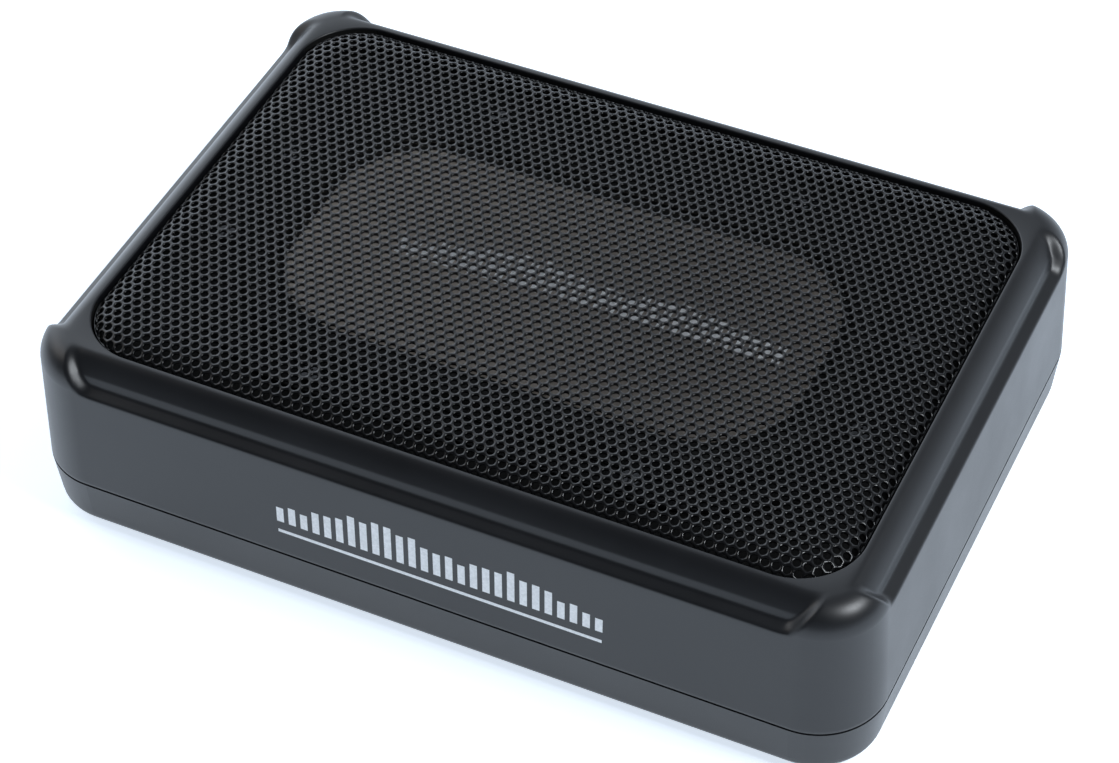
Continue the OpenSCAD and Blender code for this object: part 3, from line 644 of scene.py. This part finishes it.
def join_block(piece, low, high, radius, operation):
    points, faces = rounded_block(low, high, radius)
    mesh = bpy.data.meshes.new("cutter")
    mesh.from_pydata(np.array(points) * MM, [], faces)
    work = bmesh.new()
    work.from_mesh(mesh)
    bmesh.ops.recalc_face_normals(work, faces=work.faces)
    work.to_mesh(mesh)
    work.free()
    cutter = bpy.data.objects.new("cutter", mesh)
    scene.collection.objects.link(cutter)
    applied(piece, "BOOLEAN", operation=operation, solver="EXACT", object=cutter)
    bpy.data.objects.remove(cutter)


# ---- Grille ----
G_ROLL, G_DROP, G_TOP, G_SHEET = 14.0, 5.4, 83.4, 1.0
PITCH, HOLE = 4.0, 1.54


def grille_profile():
    a = np.linspace(0, math.pi / 2, 400)
    r, z = 10 + G_ROLL * np.sin(a), G_TOP - G_DROP + G_DROP * np.cos(a)
    s = np.concatenate([[0], np.cumsum(np.hypot(np.diff(r), np.diff(z)))])
    return a, r, z, s


def sheet_to_space(xy, depth):
    """Maps points of the flat pattern to the formed sheet, depth below its outer skin."""
    a, r, z, s = grille_profile()
    o = np.clip(xy, (-GX, -GY), (GX, GY))
    d = xy - o
    rho = np.hypot(d[:, 0], d[:, 1])
    n = np.divide(d, rho[:, None], out=np.zeros_like(d), where=rho[:, None] > 1e-9)
    run = np.clip(rho - 10, 0, None)
    past = np.clip(run - s[-1], 0, None)
    run = np.minimum(run, s[-1])
    ang = np.interp(run, s, a)
    rr = np.where(rho > 10, np.interp(run, s, r), rho)
    zz = np.interp(run, s, z) - past
    nr, nz = np.sin(ang) / G_ROLL, np.cos(ang) / G_DROP
    size = np.hypot(nr, nz)
    nr, nz = nr / size, nz / size
    crown = 0.5 * np.clip(1 - (xy[:, 0] / 137) ** 2, 0, 1) * np.clip(1 - (xy[:, 1] / 88) ** 2, 0, 1)
    rr = rr - depth * nr
    return np.column_stack([o[:, 0] + n[:, 0] * rr, o[:, 1] + n[:, 1] * rr,
                            zz - depth * nz + crown])


def make_grille(materials):
    row = PITCH * math.sqrt(3) / 2
    limit = 10 + 16.0 + 0.6
    centres = []
    for j in range(-32, 33):
        for i in range(-42, 43):
            x, y = PITCH * (i + 0.5 * (j % 2)), row * j
            far = math.hypot(max(abs(x) - GX, 0), max(abs(y) - GY, 0))
            if far < limit:
                centres.append((x, y))
    turns = np.radians(np.arange(0, 360, 30))
    reach = np.where(np.arange(12) % 2 == 0, PITCH / 2, PITCH / math.sqrt(3))
    border = np.column_stack([np.cos(turns), np.sin(turns)]) * reach[:, None]
    hole = np.column_stack([np.cos(turns), np.sin(turns)]) * HOLE
    for name, chosen in (("grille_left", [c for c in centres if c[0] < -0.1]),
                         ("grille_right", [c for c in centres if c[0] >= -0.1])):
        plan, index, quads, used = [], {}, [], set()
        for cx, cy in chosen:
            outer = []
            for bx, by in border:
                key = (round((cx + bx) * 50), round((cy + by) * 50))
                if key not in index:
                    index[key] = len(plan)
                    plan.append((cx + bx, cy + by))
                outer.append(index[key])
            first = len(plan)
            plan += [(cx + hx, cy + hy) for hx, hy in hole]
            for k in range(12):
                m = (k + 1) % 12
                quads.append((outer[k], outer[m], first + m, first + k))
                used.add((outer[k], outer[m]))
            quads.append(("hole", first))
        n = len(plan)
        flat = np.array(plan)
        points = np.concatenate([sheet_to_space(flat, 0.0), sheet_to_space(flat, G_SHEET)])
        faces = []
        for q in quads:
            if q[0] == "hole":
                f = q[1]
                for k in range(12):
                    m = (k + 1) % 12
                    faces.append((f + k, f + m, n + f + m, n + f + k))
            else:
                faces.append(q)
                faces.append(tuple(n + v for v in reversed(q)))
        rim = [e for e in used if (e[1], e[0]) not in used]
        faces += [(a, n + a, n + b, b) for a, b in rim]
        piece = mesh_piece(name, points, faces, materials["grille_paint"],
                           sharp=None)
        rim_edges = {frozenset(e) for e in rim}
        rim_edges |= {frozenset((a + n, b + n)) for a, b in rim}
        sharp = piece.data.attributes.new("sharp_edge", "BOOLEAN", "EDGE")
        flags = [frozenset(e.vertices) in rim_edges for e in piece.data.edges]
        sharp.data.foreach_set("value", flags)
        if name == "grille_left":
            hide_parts("grille")
    st = stations(GX, GY, coarse=20, step=2, fine=3, wide=5)
    section = [(24.15, 75.5), (24.2, 78.2), (23.9, 78.9), (23.3, 78.9), (22.85, 78.2), (22.85, 75.5)]
    points, faces = sweep(st, GX, GY, section)
    mesh_piece("grille_hem", points, faces, materials["grille_paint"])


# ---- Surround: two halves that meet on the crest of the roll ----


def make_surround(materials):
    st = stations(PX, PY, reach=8, step=4, coarse=8, fine=3, wide=3)
    mid, half, base, rise, skin = 45.75, 6.75, 75.6, 3.6, 0.5
    outer = arc(mid, base, half, rise, 90, 0, 16) + [(53.2, base - 0.12), (56.5, base - 0.1),
            (56.5, 74.8), (mid + half - 0.3, 74.8)]
    outer += arc(mid, base - 0.4, half - skin, rise - 0.1, 0, 90, 16)[1:]
    inner = arc(mid, base, half, rise, 90, 180, 16) + [(38.2, base - 0.12), (36.3, base - 0.1),
            (36.3, 74.8), (mid - half + 0.3, 74.8)]
    inner += arc(mid, base - 0.4, half - skin, rise - 0.1, 180, 90, 16)[1:]
    for name, section, start, end in (("surround_roll_outer", outer, 0.0756, 0.0828),
                                      ("surround_roll_inner", inner, 0.0828, 0.0756)):
        points, faces = sweep(st, PX, PY, section)
        piece = mesh_piece(name, points, faces, materials["surround_rubber"],
                           ride=False)
        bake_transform(piece)
        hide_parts("surround")


def make_tinsel_leads(materials):
    """Braided leads from the terminal strip to the moving cone."""
    path = [np.array(p, float) for p in ((-64.8, 46.9), (-65, 51), (-60, 55.5), (-52, 58),
                                         (-43, 58.5), (-36, 58), (-31, 56.5))]
    line = []
    ends = [2 * path[0] - path[1]] + path + [2 * path[-1] - path[-2]]
    for a, b, c, d in zip(ends, ends[1:], ends[2:], ends[3:]):
        for t in np.arange(0, 1, 0.125):
            line.append(0.5 * (2 * b + (c - a) * t + (2 * a - 5 * b + 4 * c - d) * t * t
                               + (3 * b - a - 3 * c + d) * t ** 3))
    line.append(path[-1])
    line = np.array(line)
    along = np.gradient(line, axis=0)
    along /= np.hypot(along[:, 0], along[:, 1])[:, None]
    n = 12
    turns = np.radians(np.arange(n) * 360 / n)
    for name, y in (("tinsel_lead_left", 5.0), ("tinsel_lead_right", -5.0)):
        points = []
        for i, ((x, z), (ax, az)) in enumerate(zip(line, along)):
            for t in turns:
                r = 0.6 + 0.05 * math.cos(2 * t + i * 0.9)
                points.append((x + r * math.cos(t) * az, y + r * math.sin(t),
                               z - r * math.cos(t) * ax))
        m = len(line)
        faces = tube_faces(n, m, closed=False)
        faces += [tuple(range(n)), tuple(range(m * n - 1, (m - 1) * n - 1, -1))]
        piece = mesh_piece(name, points, faces, materials["braid"], ride=False)
        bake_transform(piece)
        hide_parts("tinsel_leads")


# ---- Printed marks: plain rows of level bars, and ticks round the controls ----
CONTROL_Z, INK = 46, (-158.4, -158.56)
KNOBS = {"gain": 35, "crossover": 48, "boost": 61}


def bars(count, pitch, width, low, high):
    out = []
    for i in range(count):
        t = i / (count - 1)
        swell = math.exp(-((t - 0.32) / 0.2) ** 2) + 0.75 * math.exp(-((t - 0.74) / 0.16) ** 2)
        ripple = 0.5 + 0.5 * math.sin(i * 2.4)
        tall = low + (high - low) * min(1.0, 0.15 + 0.72 * swell + 0.18 * ripple)
        out.append(((i - (count - 1) / 2) * pitch, width, tall))
    return out


def make_marks():
    m = Maker("print_ink")
    flecks = m.noise(900, 4, 0.6)
    m.link(m.blend(m.remap(flecks, 0.35, 0.65, 0, 1), (0.7, 0.71, 0.72), (0.84, 0.85, 0.86)),
           "Base Color")
    m.link(m.remap(flecks, 0.3, 0.7, 0.4, 0.55), "Roughness")
    points, faces = [], []

    def block(corners):
        start = len(points)
        points.extend(corners)
        for f in ((0, 1, 2, 3), (7, 6, 5, 4), (0, 4, 5, 1), (1, 5, 6, 2), (2, 6, 7, 3),
                  (3, 7, 4, 0)):
            faces.append(tuple(start + v for v in f))

    def wall_block(x0, x1, z0, z1):
        corners = []
        for proud in (-0.1, 0.06):
            for x, z in ((x0, z0), (x1, z0), (x1, z1), (x0, z1)):
                corners.append((x, -(HY + wall_r(z)) - proud, z))
        block(corners)
    for x, width, tall in bars(27, 4.75, 2.8, 3.2, 15.5):
        wall_block(6 + x - width / 2, 6 + x + width / 2, 40.5, 40.5 + tall)
    wall_block(-56.9, 68.9, 35.2, 36.6)
    mesh_piece("front_mark", points, faces, m.material)
    points.clear()
    faces.clear()
    for x, width, tall in bars(31, 4.95, 3.1, 5.0, 17.0):
        corners = []
        for z in (76.25, 76.36):
            for dx, y in ((-width / 2, 0), (width / 2, 0), (width / 2, tall), (-width / 2, tall)):
                corners.append((11.5 + x + dx, y - 6 + 0.02 * x, z))
        block(corners)
    mesh_piece("panel_mark", points, faces, m.material, body="diaphragm")
    points.clear()
    faces.clear()

    def dash(y, z, angle, near, far, width, x0, x1):
        """A short line that points away from (y, z) at an angle from straight up."""
        t = math.radians(angle)
        out, side = np.array((math.sin(t), math.cos(t))), np.array((math.cos(t), -math.sin(t)))
        corners = []
        for x in (x0, x1):
            for reach, across in ((near, -1), (near, 1), (far, 1), (far, -1)):
                v = out * reach + side * across * width / 2
                corners.append((x, y + v[0], z + v[1]))
        block(corners)
    for y in KNOBS.values():
        for k in range(11):
            dash(y, CONTROL_Z, -140 + 28 * k, 5.5, 6.2 if k % 5 else 6.5, 0.34, *INK)
    for y in (15.6, 26.4):
        dash(y, CONTROL_Z, 0, -1.3, 1.3, 0.5, *INK)
    for y0, y1 in ((-8.2, 2.2), (-24.5, -13.5), (-66, -46)):
        dash(y0, 58.6, 90, 0, y1 - y0, 0.5, *INK)
    mesh_piece("control_marks", points, faces, m.material)
    for name, y in KNOBS.items():
        points.clear()
        faces.clear()
        dash(y, CONTROL_Z, 0, 1.2, 4.7, 0.84, -162.9, -163.4)
        mesh_piece(f"{name}_pointer", points, faces, m.material, body=f"{name}_dial")


# ---- Build ----
materials = make_materials()
make_studio()
slots = {s["node"]: s["material_slot"] for s in record["subparts"]}
for name, node in nodes.items():
    node.data.materials.clear()
    node.data.materials.append(materials[slots[name]])
make_upper_shell(materials)
make_grille(materials)
make_surround(materials)
make_tinsel_leads(materials)
make_marks()
